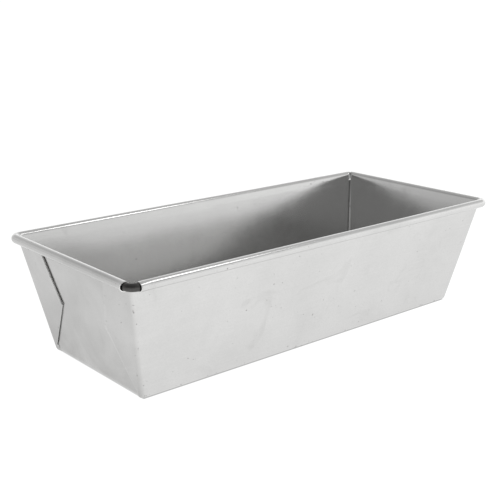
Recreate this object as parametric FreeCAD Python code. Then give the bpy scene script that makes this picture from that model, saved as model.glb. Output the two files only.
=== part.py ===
import FreeCAD, Part
import math
import os

# Folded loaf pan, all sizes in millimetres.
# +Z is up, +X runs along the length, and the origin is under the middle of the pan,
# on the surface that it stands on.
#
# The pan is one sheet, folded up from a flat blank, with no seam, weld or rivet.
# At each corner the spare sheet is folded into a double flap that lies flat on the
# outside of the end wall: end wall, fold, inner flap, diagonal fold, outer flap, and
# then round the corner into the long wall. The top edge is curled outward and down
# round a rim wire, and the curl is notched at the corners.

# Driving dimensions
RIM_LENGTH = 260.0          # over the curled rim, along X
RIM_WIDTH = 116.0           # over the curled rim, along Y
HEIGHT = 65.0
WALL_FLARE = 16.5           # from the foot of a wall out to the outside of the rim
SHEET = 0.4
LAYER_GAP = 0.1             # air between folded layers
WIRE_DIAMETER = 4.0
WIRE_CLEARANCE = 0.05       # between the wire and the curl round it
CURL_TURN = 308.0           # degrees that the curl wraps round the wire
RIM_CORNER_RADIUS = 4.2     # centreline of the wire, in plan
FOLD_RADIUS = 2.5           # outside radius where the floor meets the walls
FLOOR_CORNER_RADIUS = 2.5   # outside radius of the floor corners, in plan
CURL_TO_WALL_TOP = 0.3      # from the lowest point of the curl down to the notch floor
WIRE_BUTT_GAP = 0.3         # between the two cut ends of the wire

# The double flaps on the end walls
FLAP_TIP_HEIGHT = 33.0      # where the diagonal fold meets the trimmed edge
FLAP_TIP_REACH = 27.0       # from the corner edge to the tip
FLAP_TOP_REACH = 23.0       # from the corner edge to the trimmed edge, under the rim
FLAP_FOLD_ALLOWANCE = 3.0   # from the corner edge to the air gap behind the inner flap

# Degrees of each rim corner that the notch leaves without a curl, by (side of X, side of Y)
NOTCHES = {(-1, -1): 90.0, (1, 1): 10.0, (1, -1): 7.0, (-1, 1): 4.0}

# Sizes worked out from the ones above
CURL_INSIDE = WIRE_DIAMETER / 2 + WIRE_CLEARANCE
CURL_OUTSIDE = CURL_INSIDE + SHEET
AXIS_HEIGHT = HEIGHT - CURL_OUTSIDE
AXIS_X = RIM_LENGTH / 2 - CURL_OUTSIDE
AXIS_Y = RIM_WIDTH / 2 - CURL_OUTSIDE
FLOOR_X = RIM_LENGTH / 2 - WALL_FLARE
FLOOR_Y = RIM_WIDTH / 2 - WALL_FLARE
WALL_TOP = AXIS_HEIGHT - CURL_OUTSIDE - CURL_TO_WALL_TOP

# The outside of a wall rises from its foot and touches the inner side of the curl.
AXIS_REACH = AXIS_X - FLOOR_X
TILT = (math.acos(CURL_INSIDE / math.hypot(AXIS_REACH, AXIS_HEIGHT))
        - math.atan2(AXIS_HEIGHT, AXIS_REACH))
SLOPE = math.tan(TILT)

# Thicknesses measured level, across a leaning wall
SHEET_ACROSS = SHEET / math.cos(TILT)
GAP_ACROSS = LAYER_GAP / math.cos(TILT)
FLAP_STACK = 2 * (SHEET_ACROSS + GAP_ACROSS)

WALL_TOP_RADIUS = RIM_CORNER_RADIUS - (AXIS_REACH - SLOPE * WALL_TOP)
OVERCUT = 5.0               # how far a cutter runs past what it cuts


def point(x, y, z):
    return FreeCAD.Vector(x, y, z)


def polygon_face(points):
    return Part.Face(Part.makePolygon(points + [points[0]]))


def rounded_rectangle(half_x, half_y, radius, z):
    """A level wire: four straight sides joined by quarter circles."""
    edges = []
    middle = radius * (1 - math.sqrt(0.5))
    corners = [(1, 1), (-1, 1), (-1, -1), (1, -1)]
    for index, (side_x, side_y) in enumerate(corners):
        beside = point(side_x * half_x, side_y * (half_y - radius), z)
        above = point(side_x * (half_x - radius), side_y * half_y, z)
        halfway = point(side_x * (half_x - middle), side_y * (half_y - middle), z)
        start, end = (beside, above) if side_x == side_y else (above, beside)
        edges.append(Part.Arc(start, halfway, end).toShape())
        next_x, next_y = corners[(index + 1) % 4]
        if next_y == side_y:
            following = point(next_x * (half_x - radius), next_y * half_y, z)
        else:
            following = point(next_x * half_x, next_y * (half_y - radius), z)
        edges.append(Part.makeLine(end, following))
    return Part.Wire(edges)


def rounded_frustum(inset, floor_z, floor_radius):
    """A solid with leaning sides and a rounded foot, out to the outer flaps at the ends.

    inset is how far its sides lie inside the outer surface, measured level.
    """
    sections = []
    for z in (floor_z, WALL_TOP + OVERCUT):
        half_x = FLOOR_X + FLAP_STACK + SLOPE * z - inset
        half_y = FLOOR_Y + SLOPE * z - inset
        share = z / WALL_TOP
        radius = FLOOR_CORNER_RADIUS * (1 - share) + WALL_TOP_RADIUS * share - inset
        sections.append(rounded_rectangle(half_x, half_y, radius, z))
    solid = Part.makeLoft(sections, True, True)
    foot = [edge for edge in solid.Edges if edge.BoundBox.ZMax < floor_z + 0.01]
    return solid.makeFillet(floor_radius, foot)


def end_to_end_trough(inset, floor_z, floor_radius):
    """Everything between the two end walls: a side view, drawn out across the pan."""
    top = WALL_TOP + OVERCUT
    foot_x = FLOOR_X + SLOPE * floor_z - inset
    top_x = FLOOR_X + SLOPE * top - inset
    across = FLOOR_Y * 2
    outline = polygon_face([
        point(-foot_x, -across, floor_z),
        point(foot_x, -across, floor_z),
        point(top_x, -across, top),
        point(-top_x, -across, top),
    ])
    solid = outline.extrude(point(0, 2 * across, 0))
    foot = [edge for edge in solid.Edges
            if edge.BoundBox.ZMax < floor_z + 0.01 and edge.BoundBox.XLength < 0.01]
    return solid.makeFillet(floor_radius, foot)


def corner_edge(z):
    """Half the pan's outside width at height z."""
    return FLOOR_Y + SLOPE * z


def flap_outline(fold_inset, beyond):
    """The flap on the +Y side of an end wall, seen from the end, as (y, z) points.

    fold_inset moves the diagonal fold into the flap, and beyond moves the trimmed edge
    out past the flap, so that a gap cut with this outline is open along that edge.
    """
    foot = (FLOOR_Y, 0.0)
    tip = (corner_edge(FLAP_TIP_HEIGHT) - FLAP_TIP_REACH, FLAP_TIP_HEIGHT)
    run = math.hypot(tip[0] - foot[0], tip[1] - foot[1])
    along = ((tip[0] - foot[0]) / run, (tip[1] - foot[1]) / run)
    shift = (along[1] * fold_inset, -along[0] * fold_inset)
    below = (foot[0] + shift[0] - along[0] * OVERCUT, foot[1] + shift[1] - along[1] * OVERCUT)
    fold_end = (tip[0] + shift[0], tip[1] + shift[1])
    top = (corner_edge(WALL_TOP) - FLAP_TOP_REACH, WALL_TOP)
    rise = WALL_TOP + OVERCUT
    outside = corner_edge(rise) + OVERCUT
    points = [below, fold_end]
    if beyond:
        points.append((tip[0] - beyond, fold_end[1]))
    points += [(top[0] - beyond, top[1]), (top[0] - beyond, rise), (outside, rise)]
    points.append((outside, below[1]))
    return points


def across_the_ends(outline):
    """A prism right along the pan, from an outline of (y, z) points."""
    reach = RIM_LENGTH
    face = polygon_face([point(-reach, y, z) for y, z in outline])
    return face.extrude(point(2 * reach, 0, 0))


def mirrored_in_y(shape):
    return shape.mirror(point(0, 0, 0), point(0, 1, 0))


def folded_body():
    """Floor, walls and flaps, up to the notch floor just under the curl."""
    outside = rounded_frustum(0.0, 0.0, FOLD_RADIUS)
    lining = rounded_frustum(SHEET_ACROSS, SHEET, FOLD_RADIUS - SHEET)
    end_walls_outside = end_to_end_trough(0.0, 0.0, FOLD_RADIUS)
    end_walls_inside = end_to_end_trough(SHEET_ACROSS, SHEET, FOLD_RADIUS - SHEET)
    body = outside.cut(lining.common(end_walls_inside))

    flaps = across_the_ends(flap_outline(0.0, 0.0))
    both_flaps = [flaps, mirrored_in_y(flaps)]
    bare_end_wall = outside.cut(end_walls_outside)
    for flap in both_flaps:
        bare_end_wall = bare_end_wall.cut(flap)
    body = body.cut(bare_end_wall)

    # Between the two layers of a flap: closed along the diagonal fold, open at the trimmed
    # edge, and running round the corner to the inside of the pan.
    core = rounded_frustum(SHEET_ACROSS + GAP_ACROSS, SHEET + LAYER_GAP,
                           FOLD_RADIUS - SHEET - LAYER_GAP)
    between_layers = lining.cut(core)
    between = across_the_ends(flap_outline(SHEET, OVERCUT))
    for cutter in (between, mirrored_in_y(between)):
        body = body.cut(between_layers.common(cutter))

    # Between the end wall and the inner flap: closed by the fold at the corner.
    behind_flap = end_to_end_trough(-GAP_ACROSS, 0.0, FOLD_RADIUS).cut(end_walls_outside)
    rise = WALL_TOP + OVERCUT
    behind = across_the_ends([
        (0.0, 0.0),
        (corner_edge(0.0) - FLAP_FOLD_ALLOWANCE, 0.0),
        (corner_edge(rise) - FLAP_FOLD_ALLOWANCE, rise),
        (0.0, rise),
    ])
    for cutter in (behind, mirrored_in_y(behind)):
        body = body.cut(behind_flap.common(cutter))

    trim = Part.makeBox(2 * RIM_LENGTH, 2 * RIM_WIDTH, 2 * OVERCUT,
                        point(-RIM_LENGTH, -RIM_WIDTH, WALL_TOP))
    return body.cut(trim)


def on_circle(radius, angle):
    """A point round the wire, as (distance outward, height), at an angle in degrees."""
    turn = math.radians(angle)
    return radius * math.cos(turn), AXIS_HEIGHT + radius * math.sin(turn)


def curl_section(place):
    """Cross-section of the curled rim, with the strip of wall under it.

    place turns (distance outward from the wire's centreline, height) into a point.
    """
    touch = 180.0 - math.degrees(TILT)
    free_edge = touch - CURL_TURN
    halfway = (touch + free_edge) / 2
    wall_outside = -(AXIS_REACH - SLOPE * WALL_TOP)
    wall_inside = wall_outside - SHEET_ACROSS

    inside_foot = place(wall_inside, WALL_TOP)
    outside_foot = place(wall_outside, WALL_TOP)
    outer = [place(*on_circle(CURL_OUTSIDE, angle)) for angle in (touch, halfway, free_edge)]
    inner = [place(*on_circle(CURL_INSIDE, angle)) for angle in (free_edge, halfway, touch)]
    return Part.Face(Part.Wire([
        Part.makeLine(inside_foot, outer[0]),
        Part.Arc(*outer).toShape(),
        Part.makeLine(outer[2], inner[0]),
        Part.Arc(*inner).toShape(),
        Part.makeLine(inner[2], outside_foot),
        Part.makeLine(outside_foot, inside_foot),
    ]))


def straight_curls():
    """The curl along the four sides, between the rim's corners."""
    run_x = AXIS_X - RIM_CORNER_RADIUS
    run_y = AXIS_Y - RIM_CORNER_RADIUS
    curls = []
    for side in (-1, 1):
        long_side = curl_section(lambda out, z: point(-run_x, side * (AXIS_Y + out), z))
        curls.append(long_side.extrude(point(2 * run_x, 0, 0)))
        end_side = curl_section(lambda out, z: point(side * (AXIS_X + out), -run_y, z))
        curls.append(end_side.extrude(point(0, 2 * run_y, 0)))
    return curls


def corner_curls():
    """The curl that goes on round a rim corner from each side, up to the notch."""
    curls = []
    for (side_x, side_y), notch in NOTCHES.items():
        bend = (90.0 - notch) / 2
        if bend <= 0:
            continue
        centre = point(side_x * (AXIS_X - RIM_CORNER_RADIUS), side_y * (AXIS_Y - RIM_CORNER_RADIUS), 0)
        from_end = curl_section(
            lambda out, z: point(centre.x + side_x * (RIM_CORNER_RADIUS + out), centre.y, z))
        from_long = curl_section(
            lambda out, z: point(centre.x, centre.y + side_y * (RIM_CORNER_RADIUS + out), z))
        turn = bend * side_x * side_y
        curls.append(from_end.revolve(centre, point(0, 0, 1), turn))
        curls.append(from_long.revolve(centre, point(0, 0, 1), -turn))
    return curls


def pan_sheet():
    body = folded_body()
    return body.multiFuse(straight_curls() + corner_curls()).removeSplitter()


def rim_wire():
    """One length of round wire, with its two cut ends in the middle of a long side."""
    path = rounded_rectangle(AXIS_X, AXIS_Y, RIM_CORNER_RADIUS, AXIS_HEIGHT)
    section = Part.Face(Part.Wire(Part.makeCircle(
        WIRE_DIAMETER / 2, point(0, AXIS_Y, AXIS_HEIGHT), point(1, 0, 0))))
    half = WIRE_BUTT_GAP / 2
    ends = [edge for edge in path.Edges
            if edge.BoundBox.YMin > AXIS_Y - 0.01 and edge.BoundBox.XLength > RIM_LENGTH / 2]
    others = [edge for edge in path.Edges if not edge.isSame(ends[0])]
    run_x = AXIS_X - RIM_CORNER_RADIUS
    runs = [section.translated(point(half, 0, 0)).extrude(point(run_x - half, 0, 0)),
            section.translated(point(-half, 0, 0)).extrude(point(half - run_x, 0, 0))]
    for edge in others:
        start = edge.valueAt(edge.FirstParameter)
        heading = edge.tangentAt(edge.FirstParameter)
        disc = Part.Face(Part.Wire(Part.makeCircle(WIRE_DIAMETER / 2, start, heading)))
        runs.append(Part.Wire([edge]).makePipe(disc))
    return runs[0].multiFuse(runs[1:]).removeSplitter()


def save(name, shape):
    solids = shape.Solids
    if len(solids) != 1:
        raise RuntimeError(name + " should be one solid, not " + str(len(solids)))
    solid = solids[0]
    solid.exportStep("parts/" + name + ".step")
    box = solid.BoundBox
    print(name, "valid", solid.isValid(), "volume", round(solid.Volume, 1),
          "size", round(box.XLength, 2), round(box.YLength, 2), round(box.ZLength, 2))


os.makedirs("parts", exist_ok=True)
save("pan_sheet", pan_sheet())
save("rim_wire", rim_wire())
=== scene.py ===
import math

import bmesh
import bpy
import numpy as np
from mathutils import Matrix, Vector, noise


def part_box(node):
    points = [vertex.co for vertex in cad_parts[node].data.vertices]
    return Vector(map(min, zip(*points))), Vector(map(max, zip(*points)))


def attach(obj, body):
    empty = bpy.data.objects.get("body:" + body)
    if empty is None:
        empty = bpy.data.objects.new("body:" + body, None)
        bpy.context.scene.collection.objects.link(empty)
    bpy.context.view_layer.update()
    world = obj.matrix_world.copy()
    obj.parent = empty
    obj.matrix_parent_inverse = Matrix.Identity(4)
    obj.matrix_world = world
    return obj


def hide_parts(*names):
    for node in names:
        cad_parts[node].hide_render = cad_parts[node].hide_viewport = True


# A folded loaf pan in tinned steel sheet, with its rim curled round a steel wire.
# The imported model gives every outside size. All lengths are in metres.

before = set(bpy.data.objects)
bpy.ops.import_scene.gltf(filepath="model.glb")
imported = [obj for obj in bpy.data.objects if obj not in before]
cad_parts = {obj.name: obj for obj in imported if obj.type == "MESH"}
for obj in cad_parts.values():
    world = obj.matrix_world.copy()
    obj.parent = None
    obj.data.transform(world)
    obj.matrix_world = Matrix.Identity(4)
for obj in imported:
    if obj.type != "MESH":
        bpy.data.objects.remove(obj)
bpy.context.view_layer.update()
sheet_low, sheet_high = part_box("pan_sheet")
wire_low, wire_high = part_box("rim_wire")

MM = 0.001

# The sheet and its folds
SHEET = 0.4 * MM
LAYER_GAP = 0.1 * MM
WALL_FLARE = 16.5 * MM          # from the foot of a wall out to the outside of the rim
FOLD_RADIUS = 2.5 * MM          # outside, where the floor meets the walls
FLOOR_CORNER_RADIUS = 2.5 * MM
FLAP_TIP_HEIGHT = 33.0 * MM
FLAP_TIP_REACH = 27.0 * MM      # from the corner edge to the tip of a flap
FLAP_TOP_REACH = 23.0 * MM      # from the corner edge to the flap's trimmed edge, at its top
FLAP_PRESS = 0.08 * MM          # how far a flap's free edge is pressed in to the end wall
FLAP_SETBACK = 0.8 * MM         # how far the inner flap is trimmed back from the outer one
FLAP_SETBACK_RUN = 2.0 * MM     # height above the tip in which that starts
FOLD_SETTLES = (2.6 * MM, 6.0 * MM)   # heights between which the corner step becomes a flap
STEP_RUN = 1.6 * MM             # length of that step at the foot
TIGHTEST_CORNER = 1.35 * MM     # of the middle of the sheet, where the floor fold meets a corner

# The rim
RIM_CORNER_RADIUS = 4.2 * MM    # centreline of the wire, in plan
CURL_TURN = math.radians(308.0)
CURL_TO_WALL_TOP = 0.3 * MM
NOTCH_SLOT = 0.25 * MM          # between the notch floor and a curl that overhangs it
NOTCHES = {(-1, -1): 90.0, (1, 1): 10.0, (1, -1): 7.0, (-1, 1): 4.0}   # degrees without a curl
WIRE_BUTT_GAP = 0.3 * MM
BARE_NOTCH = 45.0               # a wider notch than this leaves a bare corner
FLARE = 0.3                     # how much wider the curl stands at a bare corner
FLARE_RUN = 7.0 * MM

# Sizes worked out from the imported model
WIRE_RADIUS = (wire_high.z - wire_low.z) / 2
AXIS_HEIGHT = (wire_high.z + wire_low.z) / 2
AXIS_X = wire_high.x - WIRE_RADIUS
AXIS_Y = wire_high.y - WIRE_RADIUS
CURL_OUTSIDE = sheet_high.z - AXIS_HEIGHT
CURL_MIDDLE = CURL_OUTSIDE - SHEET / 2
CURL_INSIDE = CURL_OUTSIDE - SHEET
FLOOR_X = sheet_high.x - WALL_FLARE
FLOOR_Y = sheet_high.y - WALL_FLARE
WALL_TOP = AXIS_HEIGHT - CURL_OUTSIDE - CURL_TO_WALL_TOP
AXIS_REACH = AXIS_X - FLOOR_X
TILT = (math.acos(CURL_INSIDE / math.hypot(AXIS_REACH, AXIS_HEIGHT))
        - math.atan2(AXIS_HEIGHT, AXIS_REACH))
SLOPE = math.tan(TILT)
SHEET_ACROSS = SHEET / math.cos(TILT)
LAYER_STEP = (SHEET + LAYER_GAP) / math.cos(TILT)
WALL_TOP_RADIUS = RIM_CORNER_RADIUS - (AXIS_REACH - SLOPE * WALL_TOP)

# How finely the sheet is divided
LONG_COLUMNS = 44
END_COLUMNS = 20
CORNER_COLUMNS = 8
FLAP_COLUMNS = 9
FOLD_COLUMNS = 6
FOOT_ROWS = 6
FOLD_SETTLE_ROWS = 5
FLAP_ROWS = 14                  # below the flap's tip, and again above it
CURL_ROWS = 30
CURL_CORNER_COLUMNS = 7
WIRE_LONG_STEPS = 120
WIRE_END_STEPS = 40
WIRE_CORNER_STEPS = 12
WIRE_SIDES = 28


def smooth_step(low, high, value):
    share = min(max((value - low) / (high - low), 0.0), 1.0)
    return share * share * (3.0 - 2.0 * share)


def mix(a, b, share):
    return a + (b - a) * share


# ---------------------------------------------------------------- the folded sheet

def corner_radius(z):
    share = z / WALL_TOP
    return mix(FLOOR_CORNER_RADIUS, WALL_TOP_RADIUS, share)


def flap_reach(z):
    """From the corner edge to the flap's outer edge: the diagonal fold, then the trimmed edge."""
    if z <= FLAP_TIP_HEIGHT:
        return FLAP_TIP_REACH * z / FLAP_TIP_HEIGHT
    share = (z - FLAP_TIP_HEIGHT) / (WALL_TOP - FLAP_TIP_HEIGHT)
    return mix(FLAP_TIP_REACH, FLAP_TOP_REACH, share)


def section_columns():
    """(part, share along that part) for each column, from mid long wall to mid end wall."""
    straight = (AXIS_X - RIM_CORNER_RADIUS) / (AXIS_X - RIM_CORNER_RADIUS + 2 * LAYER_STEP)
    columns = [("long", straight * i / LONG_COLUMNS) for i in range(LONG_COLUMNS + 1)]
    columns.append(("long", 1.0))
    columns += [("corner", (i + 1) / CORNER_COLUMNS) for i in range(CORNER_COLUMNS)]
    columns += [("outer_flap", (i + 1) / FLAP_COLUMNS) for i in range(FLAP_COLUMNS)]
    columns += [("diagonal_fold", (i + 1) / FOLD_COLUMNS) for i in range(FOLD_COLUMNS)]
    columns += [("inner_flap", (i + 1) / FLAP_COLUMNS) for i in range(FLAP_COLUMNS)]
    columns += [("corner_fold", (i + 1) / FOLD_COLUMNS) for i in range(FOLD_COLUMNS)]
    columns += [("end", (i + 1) / END_COLUMNS) for i in range(END_COLUMNS)]
    return columns


COLUMNS = section_columns()
FIRST_STEP = next(i for i, (part, _) in enumerate(COLUMNS) if part == "outer_flap")
FIRST_END = next(i for i, (part, _) in enumerate(COLUMNS) if part == "end")


def section(z, inset):
    """The middle of the sheet at height z, in the +X +Y quarter, as (x, y) for each column."""
    a = FLOOR_X + SLOPE * z
    b = FLOOR_Y + SLOPE * z
    half = SHEET_ACROSS / 2
    radius = max(corner_radius(z), half + inset + TIGHTEST_CORNER)
    outer_x = a + 2 * LAYER_STEP - half
    inner_x = a - half
    start_x = a + 2 * LAYER_STEP - radius
    start_y = b - radius
    reach_y = b - max(flap_reach(z), radius)
    fold = LAYER_STEP / 2
    settled = smooth_step(*FOLD_SETTLES, z)
    press = FLAP_PRESS * smooth_step(FOLD_SETTLES[1], FLAP_TIP_HEIGHT, z)
    setback = FLAP_SETBACK * smooth_step(FLAP_TIP_HEIGHT, FLAP_TIP_HEIGHT + FLAP_SETBACK_RUN, z)
    end_y = start_y - STEP_RUN * (1.0 - settled)
    points = []
    for index, (part, share) in enumerate(COLUMNS):
        turn = math.pi * share
        if part == "long":
            x, y = start_x * share, b - half - inset
        elif part == "corner":
            x = start_x + (radius - half - inset) * math.sin(turn / 2)
            y = start_y + (radius - half - inset) * math.cos(turn / 2)
        elif part == "outer_flap":
            x, y = outer_x - press * share ** 2, mix(start_y, reach_y, share)
        elif part == "diagonal_fold":
            x = outer_x - press - fold * (1 - math.cos(turn))
            y = reach_y - fold * math.sin(turn) + setback * share
        elif part == "inner_flap":
            x = outer_x - press * (1.0 - share) ** 2 - 2 * fold
            y = mix(reach_y + setback, start_y, share)
        elif part == "corner_fold":
            x = outer_x - 2 * fold - fold * (1 - math.cos(turn))
            y = start_y + fold * math.sin(turn)
        else:
            x, y = inner_x, end_y * (1.0 - share)
        if FIRST_STEP <= index < FIRST_END:
            step = (index - FIRST_STEP + 1) / (FIRST_END - FIRST_STEP)
            step_x = mix(outer_x, inner_x, smooth_step(0, 1, step))
            step_y = start_y - STEP_RUN * step
            x, y = mix(step_x, x, settled), mix(step_y, y, settled)
        if index >= FIRST_STEP:
            x -= inset
        points.append((x, y))
    return points


def wall_heights():
    """Row heights up the wall, above the floor fold, with one at the flap's tip."""
    foot = FOLD_RADIUS - (FOLD_RADIUS - SHEET / 2) * math.sin(TILT)
    low = [mix(foot, FOLD_SETTLES[1], i / FOLD_SETTLE_ROWS) for i in range(FOLD_SETTLE_ROWS + 1)]
    middle = [mix(FOLD_SETTLES[1], FLAP_TIP_HEIGHT, (i + 1) / FLAP_ROWS) for i in range(FLAP_ROWS)]
    high = [mix(FLAP_TIP_HEIGHT, WALL_TOP, (i + 1) / FLAP_ROWS) for i in range(FLAP_ROWS)]
    return low + middle + high


def tub_rows():
    """Rows of (x, y, z) from the edge of the flat floor up to the notch floor."""
    rows = []
    bend = FOLD_RADIUS - SHEET / 2
    centre_inset = bend / math.cos(TILT)
    for i in range(FOOT_ROWS):
        angle = mix(-math.pi / 2, -TILT, i / FOOT_ROWS)
        z = FOLD_RADIUS + bend * math.sin(angle)
        inset = centre_inset - bend * math.cos(angle) - SLOPE * (FOLD_RADIUS - z)
        rows.append([(x, y, z) for x, y in section(z, inset)])
    for z in wall_heights():
        rows.append([(x, y, z) for x, y in section(z, 0.0)])
    return rows


def curl_profile():
    """(distance out from the wire's centreline, height), from the wall's top to the free edge."""
    touch = math.pi - TILT
    wall_foot = -(AXIS_REACH - SLOPE * WALL_TOP) - SHEET_ACROSS / 2
    wall_head = CURL_MIDDLE * math.cos(touch)
    head_z = AXIS_HEIGHT + CURL_MIDDLE * math.sin(touch)
    profile = [(wall_foot, WALL_TOP)]
    for share in (NOTCH_SLOT / (head_z - WALL_TOP), 0.5):
        profile.append((mix(wall_foot, wall_head, share), mix(WALL_TOP, head_z, share)))
    for i in range(CURL_ROWS + 1):
        angle = touch - CURL_TURN * i / CURL_ROWS
        profile.append((CURL_MIDDLE * math.cos(angle), AXIS_HEIGHT + CURL_MIDDLE * math.sin(angle)))
    return profile


def flared(out, room, notch):
    """The curl's distance out, a little looser near an end that stops at a bare corner."""
    if notch < BARE_NOTCH or out < 0.0:
        return out
    return out * (1.0 + FLARE * max(1.0 - room / FLARE_RUN, 0.0) ** 2)


def profile_row(profile, run, notch):
    """One row per point of the profile: (place along the run, distance out, height)."""
    end = max(run)
    rows = []
    for out, z in profile:
        rows.append([(place, flared(out, end - place, notch), z) for place in run])
    return rows


class Sheet:
    """Vertices and faces of one quarter at a time, mirrored into place."""

    def __init__(self):
        self.mesh = bmesh.new()

    def grid(self, rows, flip, keep=lambda row, column: True):
        verts = [[self.mesh.verts.new(p) for p in row] for row in rows]
        for k in range(len(rows) - 1):
            for c in range(len(rows[0]) - 1):
                if keep(k, c):
                    corners = (verts[k][c], verts[k][c + 1], verts[k + 1][c + 1], verts[k + 1][c])
                    self.face(corners, flip)

    def face(self, corners, flip):
        self.mesh.faces.new(tuple(reversed(corners)) if flip else corners)


def add_quarter(sheet, side_x, side_y, notch):
    """The quarter of the sheet on one side of X and of Y."""
    flip = side_x * side_y < 0

    def place(rows):
        return [[(side_x * x, side_y * y, z) for x, y, z in row] for row in rows]

    tub = tub_rows()

    def joined(row, column):
        in_fold = COLUMNS[column + 1][0] == "diagonal_fold"
        return not (in_fold and tub[row][column][2] >= FLAP_TIP_HEIGHT - SHEET / 100)

    sheet.grid(place(tub), flip, joined)

    # The floor: a flat grid inside the fold, and a fan at the corner
    edge = tub[0]
    xs = [edge[i][0] for i in range(LONG_COLUMNS + 2)]
    ys = [edge[FIRST_END - 1][1]] + [edge[i][1] for i in range(FIRST_END, len(COLUMNS))]
    level = edge[0][2]
    flat = [[(x, y, level) for x in xs] for y in reversed(ys)]
    sheet.grid(place(flat), flip)
    sheet.grid(place([[(x, ys[0], level) for x in xs], edge[:len(xs)]]), flip)
    end_edge = [edge[FIRST_END - 1]] + edge[FIRST_END:]
    sheet.grid(place([[(xs[-1], y, level) for y in ys], end_edge]), flip)
    pivot = (xs[-1], ys[0], level)
    for c in range(len(xs) - 1, FIRST_END - 1):
        corners = [sheet.mesh.verts.new(p) for p in place([[pivot, edge[c], edge[c + 1]]])[0]]
        sheet.face(corners, not flip)

    # The curl along both sides and round the corner up to the notch
    profile = curl_profile()
    top = tub[-1]
    along_x = [top[i][0] for i in range(LONG_COLUMNS + 1)]
    along_y = [y for _, y, _ in [top[FIRST_END - 1]] + top[FIRST_END:]]
    rows_x, rows_y = [profile_row(profile, run, notch) for run in (along_x, along_y)]
    sheet.grid(place([[(x, AXIS_Y + out, z) for x, out, z in row] for row in rows_x]), flip)
    sheet.grid(place([[(AXIS_X + out, y, z) for y, out, z in row] for row in rows_y]), flip)
    bend = math.radians(90.0 - notch) / 2
    if bend > 0:
        turns = [bend * i / CURL_CORNER_COLUMNS for i in range(CURL_CORNER_COLUMNS + 1)]
        centre_x, centre_y = along_x[-1], along_y[0]
        for start, way in ((0.0, 1), (math.pi / 2, -1)):
            rows = []
            for out, z in profile[1:]:
                reach = RIM_CORNER_RADIUS + out
                angles = [start + way * t for t in turns]
                rows.append([(centre_x + reach * math.sin(t), centre_y + reach * math.cos(t), z)
                             for t in angles])
            sheet.grid(place(rows), flip if way > 0 else not flip)


# ---------------------------------------------------------------- how a real pan departs from true

BOW = 0.9 * MM                 # the long walls lean in a little between floor and rim
END_BOW = 0.35 * MM
WARP = 0.25 * MM               # slow wander of the rim
RIPPLE = 0.05 * MM             # shallow unevenness of the walls
FLOOR_LIFT = 0.25 * MM
NOISE_SEED = 11                # so that the rim wanders the same way every time
WARP_PITCH = 9.0               # of the noise behind each, per metre
WARP_LAYER = 0.7
RIPPLE_PITCH = 38.0
LIFT_PITCH = 26.0

# Shares of the reach across, between which the floor gives way to a wall
LONG_WALL_STARTS = (0.86, 0.97)
END_WALL_STARTS = (0.92, 0.985)

# Shares of the reach along a wall, between which its bow dies out
BOW_FADES = (0.55, 1.0)
END_BOW_FADES = (0.35, 1.0)

# Shares of the height, between which the floor's lift dies out and the wander grows
LIFT_FADES = (0.0, 0.1)
WARP_GROWS = (0.3, 1.0)


def settle(p):
    """Moves a point of the true shape to where handling and folding have left it."""
    x, y, z = p
    rise = min(max(z / AXIS_HEIGHT, 0.0), 1.0)
    hump = math.sin(math.pi * rise)
    reach_x = FLOOR_X + SLOPE * z
    reach_y = FLOOR_Y + SLOPE * z
    on_long = smooth_step(*LONG_WALL_STARTS, abs(y) / reach_y)
    on_end = smooth_step(*END_WALL_STARTS, abs(x) / reach_x)
    along_long = 1.0 - smooth_step(*BOW_FADES, abs(x) / reach_x)
    along_end = 1.0 - smooth_step(*END_BOW_FADES, abs(y) / reach_y)
    here = Vector((x, y, z))
    ripple = noise.noise(here * RIPPLE_PITCH) * RIPPLE * hump * 2
    side_x = math.copysign(1.0, x)
    side_y = math.copysign(1.0, y)
    y += side_y * on_long * (ripple - BOW * hump * along_long)
    x += side_x * on_end * (ripple - END_BOW * hump * along_end)
    on_floor = (1.0 - on_long) * (1.0 - on_end) * (1.0 - smooth_step(*LIFT_FADES, rise))
    z += on_floor * FLOOR_LIFT * (0.5 + 0.5 * noise.noise(here * LIFT_PITCH))
    wander = noise.noise_vector(Vector((p[0] * WARP_PITCH, p[1] * WARP_PITCH, WARP_LAYER)))
    fade = smooth_step(*WARP_GROWS, rise) * WARP
    return x + wander.x * fade, y + wander.y * fade, z + min(wander.z, 0.0) * fade


# ---------------------------------------------------------------- pieces from meshes

SHARP_EDGE = math.radians(40.0)
WELD = 0.002 * MM              # vertices nearer than this are one
TIGHT_FOLD = 0.8 / MM          # curvature at which the tin is fully worn
LEVEL = 0.9                    # the least upward part of a normal on the floor


def finish_mesh(mesh, name):
    data = bpy.data.meshes.new(name)
    mesh.to_mesh(data)
    mesh.free()
    data.shade_smooth()
    data.set_sharp_from_angle(angle=SHARP_EDGE)
    piece = bpy.data.objects.new(name, data)
    bpy.context.scene.collection.objects.link(piece)
    return piece


def apply_modifiers(piece):
    graph = bpy.context.evaluated_depsgraph_get()
    evaluated = bpy.data.meshes.new_from_object(piece.evaluated_get(graph))
    piece.modifiers.clear()
    old = piece.data
    piece.data = evaluated
    bpy.data.meshes.remove(old)


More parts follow.
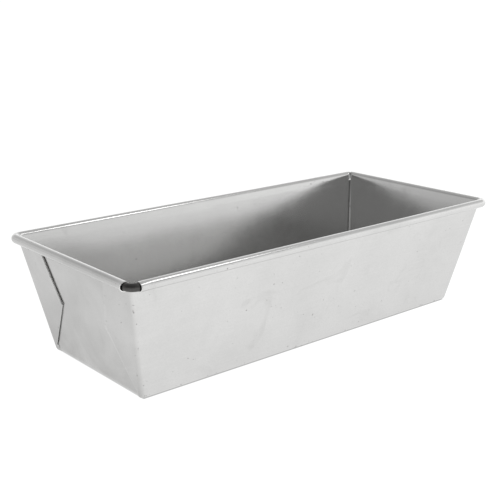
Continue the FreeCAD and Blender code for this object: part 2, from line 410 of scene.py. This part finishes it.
def mark_use(piece):
    """Stores the folds, where wear shows, the outside of the end walls, which get painted shade,
    and the inside, which is rougher.
    """
    mesh = bmesh.new()
    mesh.from_mesh(piece.data)
    wear = mesh.verts.layers.float.new("wear")
    ends = mesh.verts.layers.float.new("outside_of_ends")
    inside = mesh.verts.layers.float.new("inside")
    for vert in mesh.verts:
        tightest = 0.0
        for edge in vert.link_edges:
            if len(edge.link_faces) == 2:
                both = sum(face.calc_area() for face in edge.link_faces)
                across = both / (2 * edge.calc_length())
                tightest = max(tightest, edge.calc_face_angle(0.0) / across)
        vert[wear] = min(tightest / TIGHT_FOLD, 1.0)
        vert[ends] = max(math.copysign(vert.normal.x, vert.normal.x * vert.co.x), 0.0)
        outward = vert.normal.x * vert.co.x + vert.normal.y * vert.co.y
        if vert.co.z < WALL_TOP and (outward < -FLOOR_Y / 2 or vert.normal.z > LEVEL):
            vert[inside] = 1.0
    mesh.to_mesh(piece.data)
    mesh.free()


def build_sheet(finish, cut_edge):
    sheet = Sheet()
    for (side_x, side_y), notch in NOTCHES.items():
        add_quarter(sheet, side_x, side_y, notch)
    mesh = sheet.mesh
    bmesh.ops.remove_doubles(mesh, verts=mesh.verts, dist=WELD)
    for vert in mesh.verts:
        vert.co = settle(vert.co)
    bmesh.ops.recalc_face_normals(mesh, faces=mesh.faces)
    piece = finish_mesh(mesh, "folded_sheet")
    piece.data.materials.append(finish)
    piece.data.materials.append(cut_edge)
    shell = piece.modifiers.new("thickness", "SOLIDIFY")
    shell.thickness = SHEET
    shell.offset = 0.0
    shell.use_even_offset = True
    shell.use_quality_normals = True
    shell.material_offset_rim = 1
    apply_modifiers(piece)
    mark_use(piece)
    piece.data.set_sharp_from_angle(angle=SHARP_EDGE)
    return piece


# ---------------------------------------------------------------- the wire

def wire_path():
    """Points along the wire's centreline, from one cut end round to the other."""
    run_x = AXIS_X - RIM_CORNER_RADIUS
    run_y = AXIS_Y - RIM_CORNER_RADIUS
    half_gap = WIRE_BUTT_GAP / 2
    points = [(x, AXIS_Y) for x in np.linspace(half_gap, run_x, WIRE_LONG_STEPS // 2)]
    for side_x, side_y, start in ((1, 1, 90), (1, -1, 0), (-1, -1, -90), (-1, 1, -180)):
        for step in range(1, WIRE_CORNER_STEPS + 1):
            turn = math.radians(start - 90 * step / WIRE_CORNER_STEPS)
            points.append((side_x * run_x + RIM_CORNER_RADIUS * math.cos(turn),
                           side_y * run_y + RIM_CORNER_RADIUS * math.sin(turn)))
        x, y = points[-1]
        if side_x == side_y:
            places = np.linspace(side_y * run_y, -side_y * run_y, WIRE_END_STEPS)
            points += [(x, place) for place in places[1:]]
        elif side_x > 0:
            points += [(place, y) for place in np.linspace(run_x, -run_x, WIRE_LONG_STEPS)[1:]]
        else:
            places = np.linspace(-run_x, -half_gap, WIRE_LONG_STEPS // 2)
            points += [(place, y) for place in places[1:]]
    return points


def build_wire(finish):
    mesh = bmesh.new()
    path = wire_path()
    rings = []
    for i, (x, y) in enumerate(path):
        before = path[max(i - 1, 0)]
        after = path[min(i + 1, len(path) - 1)]
        heading = math.atan2(after[1] - before[1], after[0] - before[0])
        across = (-math.sin(heading), math.cos(heading))
        ring = []
        for s in range(WIRE_SIDES):
            angle = 2 * math.pi * s / WIRE_SIDES
            out = WIRE_RADIUS * math.cos(angle)
            ring.append(mesh.verts.new(settle((x + across[0] * out, y + across[1] * out,
                                               AXIS_HEIGHT + WIRE_RADIUS * math.sin(angle)))))
        rings.append(ring)
    for near, far in zip(rings, rings[1:]):
        for s in range(WIRE_SIDES):
            t = (s + 1) % WIRE_SIDES
            mesh.faces.new((near[s], near[t], far[t], far[s]))
    for ring in (rings[0], rings[-1]):
        mesh.faces.new(ring)
    bmesh.ops.recalc_face_normals(mesh, faces=mesh.faces)
    piece = finish_mesh(mesh, "bent_rim_wire")
    piece.data.materials.append(finish)
    return piece


# ---------------------------------------------------------------- materials

# What each metal reflects
TIN = (0.545, 0.544, 0.539, 1)
TIN_CLEAN = (0.6, 0.599, 0.594, 1)
TIN_MOTTLED = (0.62, 0.619, 0.613, 1)
TIN_GRAIN = (0.5, 0.499, 0.494, 1)
TIN_RUBBED = (0.66, 0.659, 0.653, 1)
TIN_SMUDGED = (0.47, 0.468, 0.462, 1)
TIN_WORN = (0.7, 0.698, 0.69, 1)
TIN_PITTED = (0.2, 0.195, 0.19, 1)
# Painted shade on the outside of the end walls
TIN_PAINTED_SHADE = (0.38, 0.378, 0.373, 1)
CUT = (0.8, 0.796, 0.788, 1)
CUT_BRIGHT = (0.95, 0.946, 0.935, 1)
CUT_BURRED = (0.65, 0.645, 0.638, 1)
# The wire's own dark bare steel, taken down to near black as painted shade, so it shows black in
# the gaps at the corners
WIRE_DARK = (0.035, 0.034, 0.033, 1)
WIRE_GREY = (0.11, 0.108, 0.105, 1)

# Roughness
TIN_ROUGH = (0.13, 0.16)
TIN_CLOUD_ROUGH = (-0.01, 0.02)
SMUDGE_ROUGH = 0.05
WORN_ROUGH = 0.06
INSIDE_ROUGH = 0.06
CUT_ROUGH = (0.45, 0.6)
WIRE_ROUGH = (0.25, 0.45)

# Where the tin is marked, and where shade is painted on it
PITS_END = (0.85 * WALL_TOP, 0.95 * WALL_TOP)   # heights over which the pitted folds stop
END_SHADE_TOP = 35.0 * MM                          # painted shade: the outside of the ends darkens from here down to the foot
END_SHADE_SHARES = (0.9, 0.45)                     # shares of painted shade at the foot, and at that height


def new_material(name):
    material = bpy.data.materials.new(name)
    material.use_nodes = True
    nodes = material.node_tree.nodes
    nodes.clear()
    output = nodes.new("ShaderNodeOutputMaterial")
    shader = nodes.new("ShaderNodeBsdfPrincipled")
    material.node_tree.links.new(shader.outputs["BSDF"], output.inputs["Surface"])
    return material, shader


class Nodes:
    """Short ways to add the nodes that the materials and the light use."""

    def __init__(self, owner, coordinates="Object"):
        self.tree = owner.node_tree
        self.place = self.tree.nodes.new("ShaderNodeTexCoord").outputs[coordinates]

    def link(self, out, socket):
        self.tree.links.new(out, socket)

    def stretched(self, scale):
        mapping = self.tree.nodes.new("ShaderNodeMapping")
        mapping.inputs["Scale"].default_value = scale
        self.link(self.place, mapping.inputs["Vector"])
        return mapping.outputs["Vector"]

    def noise(self, scale, detail=4.0, roughness=0.55, vector=None, distortion=0.0):
        """Noise with about this many features in a metre."""
        node = self.tree.nodes.new("ShaderNodeTexNoise")
        node.inputs["Scale"].default_value = scale
        node.inputs["Detail"].default_value = detail
        node.inputs["Roughness"].default_value = roughness
        node.inputs["Distortion"].default_value = distortion
        self.link(vector or self.place, node.inputs["Vector"])
        return node.outputs["Fac"]

    def remap(self, value, low, high, to_low, to_high):
        """Low becomes to_low and high becomes to_high, with nothing past either."""
        node = self.tree.nodes.new("ShaderNodeMapRange")
        node.inputs["From Min"].default_value = low
        node.inputs["From Max"].default_value = high
        node.inputs["To Min"].default_value = to_low
        node.inputs["To Max"].default_value = to_high
        self.link(value, node.inputs["Value"])
        return node.outputs["Result"]

    def attribute(self, name):
        node = self.tree.nodes.new("ShaderNodeAttribute")
        node.attribute_name = name
        return node.outputs["Fac"]

    def math(self, operation, a, b):
        node = self.tree.nodes.new("ShaderNodeMath")
        node.operation = operation
        for socket, value in zip(node.inputs, (a, b)):
            if isinstance(value, (int, float)):
                socket.default_value = value
            else:
                self.link(value, socket)
        return node.outputs["Value"]

    def dot(self, vector, direction):
        node = self.tree.nodes.new("ShaderNodeVectorMath")
        node.operation = "DOT_PRODUCT"
        node.inputs[1].default_value = direction
        self.link(vector, node.inputs[0])
        return node.outputs["Value"]

    def mix_colour(self, share, a, b):
        node = self.tree.nodes.new("ShaderNodeMix")
        node.data_type = "RGBA"
        self.link(share, node.inputs["Factor"])
        for socket, value in ((node.inputs["A"], a), (node.inputs["B"], b)):
            if isinstance(value, tuple):
                socket.default_value = value
            else:
                self.link(value, socket)
        return node.outputs["Result"]

    def bump(self, height, distance, strength, normal=None):
        node = self.tree.nodes.new("ShaderNodeBump")
        node.inputs["Distance"].default_value = distance
        node.inputs["Strength"].default_value = strength
        self.link(height, node.inputs["Height"])
        if normal:
            self.link(normal, node.inputs["Normal"])
        return node.outputs["Normal"]


def tinned_steel():
    material, shader = new_material("tinned_steel")
    n = Nodes(material)
    cloud = n.noise(24.0, 2.0, 0.5, distortion=0.4)
    mottle = n.noise(130.0, 4.0, 0.6)
    grain = n.noise(1500.0, 2.0, 0.5)
    streaks = n.noise(1.0, 3.0, 0.6, n.stretched((45.0, 900.0, 900.0)))
    smudge = n.remap(n.noise(38.0, 3.0, 0.6, distortion=1.2), 0.6, 0.74, 0.0, 1.0)
    grit = n.noise(560.0, 1.0)
    wear = n.attribute("wear")
    height = n.dot(n.place, (0.0, 0.0, 1.0))
    bent = n.math("MULTIPLY", n.remap(wear, 0.15, 0.35, 0.0, 1.0),
                  n.remap(height, *PITS_END, 1.0, 0.0))
    pits = n.math("MULTIPLY", bent, n.remap(grit, 0.68, 0.72, 0.0, 1.0))
    specks = n.math("MAXIMUM", n.remap(grit, 0.76, 0.8, 0.0, 1.0), pits)
    worn = n.math("MULTIPLY", wear, n.remap(grain, 0.35, 0.6, 0.2, 1.0))
    base = n.mix_colour(n.remap(cloud, 0.3, 0.7, 0.0, 1.0), TIN, TIN_CLEAN)
    base = n.mix_colour(n.remap(mottle, 0.35, 0.7, 0.0, 0.3), base, TIN_MOTTLED)
    base = n.mix_colour(n.remap(grain, 0.3, 0.7, 0.0, 0.35), base, TIN_GRAIN)
    base = n.mix_colour(n.remap(streaks, 0.45, 0.75, 0.0, 0.12), base, TIN_RUBBED)
    base = n.mix_colour(n.math("MULTIPLY", smudge, 0.4), base, TIN_SMUDGED)
    base = n.mix_colour(n.math("MULTIPLY", worn, 0.1), base, TIN_WORN)
    base = n.mix_colour(n.math("MULTIPLY", specks, 0.7), base, TIN_PITTED)
    # Painted shade: the outside of the end walls darkens in blotches, more towards the foot
    low_down = n.remap(height, 0.0, END_SHADE_TOP, *END_SHADE_SHARES)
    blotches = n.remap(n.noise(30.0, 3.0, 0.6, distortion=0.6), 0.35, 0.65, 0.7, 1.3)
    patchy = n.math("MULTIPLY", low_down, blotches)
    end_wall_shade = n.math("MULTIPLY", n.attribute("outside_of_ends"), patchy)
    base = n.mix_colour(end_wall_shade, base, TIN_PAINTED_SHADE)
    n.link(base, shader.inputs["Base Color"])
    rough = n.remap(mottle, 0.3, 0.7, *TIN_ROUGH)
    rough = n.math("ADD", rough, n.remap(cloud, 0.3, 0.7, *TIN_CLOUD_ROUGH))
    rough = n.math("ADD", rough, n.math("MULTIPLY", smudge, SMUDGE_ROUGH))
    rough = n.math("ADD", rough, n.math("MULTIPLY", worn, WORN_ROUGH))
    rough = n.math("ADD", rough, n.math("MULTIPLY", n.attribute("inside"), INSIDE_ROUGH))
    n.link(rough, shader.inputs["Roughness"])
    normal = n.bump(grain, 0.02 * MM, 0.5)
    normal = n.bump(streaks, 0.01 * MM, 0.25, normal)
    normal = n.bump(specks, -0.03 * MM, 0.5, normal)
    n.link(normal, shader.inputs["Normal"])
    shader.inputs["Metallic"].default_value = 1.0
    return material


def cut_steel():
    material, shader = new_material("cut_steel_edge")
    n = Nodes(material)
    tone = n.noise(900.0, 3.0)
    burr = n.noise(1.0, 2.0, 0.5, n.stretched((2500.0, 2500.0, 400.0)))
    base = n.mix_colour(tone, CUT, CUT_BRIGHT)
    base = n.mix_colour(n.remap(burr, 0.5, 0.7, 0.0, 0.6), base, CUT_BURRED)
    n.link(base, shader.inputs["Base Color"])
    n.link(n.remap(tone, 0.3, 0.7, *CUT_ROUGH), shader.inputs["Roughness"])
    n.link(n.bump(burr, 0.03 * MM, 0.5), shader.inputs["Normal"])
    shader.inputs["Metallic"].default_value = 1.0
    return material


def bare_wire():
    material, shader = new_material("bare_wire_steel")
    n = Nodes(material)
    tone = n.noise(300.0, 4.0)
    pits = n.noise(1500.0, 3.0)
    n.link(n.mix_colour(tone, WIRE_DARK, WIRE_GREY), shader.inputs["Base Color"])
    n.link(n.remap(tone, 0.3, 0.7, *WIRE_ROUGH), shader.inputs["Roughness"])
    n.link(n.bump(pits, 0.03 * MM, 0.5), shader.inputs["Normal"])
    shader.inputs["Metallic"].default_value = 1.0
    return material


# ---------------------------------------------------------------- stage, light and camera

STAGE_REACH = 15.0
STAGE_CELLS = 24
STAGE_GAP = 0.02 * MM                   # between the pan and the floor
PALE = (0.11, 0.11, 0.11, 1)            # kept low, since the floor also glows
PALER = (0.13, 0.13, 0.13, 1)
# The floor's glow is painted light, brighter towards the near side
FLOOR_BRIGHT_SIDE = (-0.15, -0.99, 0.0)
FLOOR_RANGE = (-0.05, 0.1)              # distances towards that side
FLOOR_GLOW = (0.95, 1.16)               # at those distances
PAINTED_SHADOW_INSET = 2.0 * MM                      # the glow stops this far in under the pan, a painted contact shadow

SIDE_LIGHT = (0.72, 1.5)                # from -X and from +X
DARK_SIDE = (-0.62, -0.73, 0.3)
DARK_RANGE = (-0.1, 1.0)
DARK_LIGHT = 0.55
ABOVE_RANGE = (0.28, 0.6)
ABOVE_LIGHT = 0.54
SOFTBOX_PLACE = (0.54, -0.42, 0.98)
SOFTBOX_SIZE = 0.3
SOFTBOX_POWER = 0.9

CAMERA_AIM = (-8.56 * MM, 21.03 * MM, 35.0 * MM)
CAMERA_AZIMUTH = math.radians(-39.289)
CAMERA_ELEVATION = math.radians(16.759)
CAMERA_ROLL = math.radians(-0.238)
CAMERA_DISTANCE = 0.53972
CAMERA_SENSOR = 36.0
CAMERA_LENS = 66.36
CAMERA_SHIFT = (0.04, 0.02)


def build_stage():
    """A pale floor that glows, brighter towards the near side as painted light, with no glow under
    the pan as a painted contact shadow.
    """
    mesh = bmesh.new()
    bmesh.ops.create_grid(mesh, x_segments=STAGE_CELLS, y_segments=STAGE_CELLS,
                          size=STAGE_REACH)
    floor = finish_mesh(mesh, "studio_floor")
    floor.location.z = sheet_low.z - STAGE_GAP
    material, shader = new_material("pale_floor")
    n = Nodes(material)
    tone = n.noise(2.0, 2.0)
    n.link(n.mix_colour(tone, PALE, PALER), shader.inputs["Base Color"])
    # Painted light: the glow grows towards the near side; painted shadow: it stops under the pan
    glow = n.remap(n.dot(n.place, FLOOR_BRIGHT_SIDE), *FLOOR_RANGE, *FLOOR_GLOW)
    beyond_ends = n.math("ABSOLUTE", n.dot(n.place, (1.0, 0.0, 0.0)), 0.0)
    beyond_sides = n.math("ABSOLUTE", n.dot(n.place, (0.0, 1.0, 0.0)), 0.0)
    outside_painted_shadow = n.math("MAXIMUM",
                       n.remap(beyond_ends, FLOOR_X - PAINTED_SHADOW_INSET, FLOOR_X, 0.0, 1.0),
                       n.remap(beyond_sides, FLOOR_Y - PAINTED_SHADOW_INSET, FLOOR_Y, 0.0, 1.0))
    n.link(n.math("MULTIPLY", glow, outside_painted_shadow), shader.inputs["Emission Strength"])
    shader.inputs["Roughness"].default_value = 0.9
    shader.inputs["Specular IOR Level"].default_value = 0.1
    shader.inputs["Emission Color"].default_value = (1.0, 1.0, 1.0, 1)
    floor.data.materials.append(material)


def build_light():
    """A sky that is brighter to +X and darker at the near left and above, and one softbox."""
    world = bpy.data.worlds.new("studio")
    bpy.context.scene.world = world
    world.use_nodes = True
    n = Nodes(world, "Generated")
    background = n.tree.nodes["Background"]
    side = n.remap(n.dot(n.place, (1.0, 0.0, 0.0)), -1.0, 1.0, *SIDE_LIGHT)
    dark = n.remap(n.dot(n.place, DARK_SIDE), *DARK_RANGE, 1.0, DARK_LIGHT)
    above = n.remap(n.dot(n.place, (0.0, 0.0, 1.0)), *ABOVE_RANGE, 1.0, ABOVE_LIGHT)
    strength = n.math("MULTIPLY", side, n.math("MULTIPLY", dark, above))
    n.link(strength, background.inputs["Strength"])
    background.inputs["Color"].default_value = (1.0, 1.0, 1.0, 1)

    data = bpy.data.lights.new("softbox", "AREA")
    data.shape = "RECTANGLE"
    data.size = SOFTBOX_SIZE
    data.size_y = SOFTBOX_SIZE
    data.energy = SOFTBOX_POWER
    lamp = bpy.data.objects.new("softbox", data)
    lamp.location = SOFTBOX_PLACE
    lamp.rotation_euler = (-Vector(SOFTBOX_PLACE)).to_track_quat("-Z", "Y").to_euler()
    bpy.context.scene.collection.objects.link(lamp)


def build_camera():
    """Off the near left corner, looking a little down."""
    back = Vector((math.sin(CAMERA_AZIMUTH) * math.cos(CAMERA_ELEVATION),
                   -math.cos(CAMERA_AZIMUTH) * math.cos(CAMERA_ELEVATION),
                   math.sin(CAMERA_ELEVATION)))
    data = bpy.data.cameras.new("camera")
    data.sensor_width = CAMERA_SENSOR
    data.lens = CAMERA_LENS
    data.shift_x, data.shift_y = CAMERA_SHIFT
    camera = bpy.data.objects.new("camera", data)
    camera.location = Vector(CAMERA_AIM) + back * CAMERA_DISTANCE
    camera.rotation_euler = (-back).to_track_quat("-Z", "Y").to_euler()
    camera.rotation_euler.rotate_axis("Z", CAMERA_ROLL)
    bpy.context.scene.collection.objects.link(camera)
    bpy.context.scene.camera = camera
    bpy.context.scene.view_settings.view_transform = "Standard"


noise.seed_set(NOISE_SEED)
build_camera()
build_light()
build_stage()

sheet_piece = build_sheet(tinned_steel(), cut_steel())
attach(sheet_piece, "root")
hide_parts("pan_sheet")

wire_piece = build_wire(bare_wire())
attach(wire_piece, "root")
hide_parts("rim_wire")
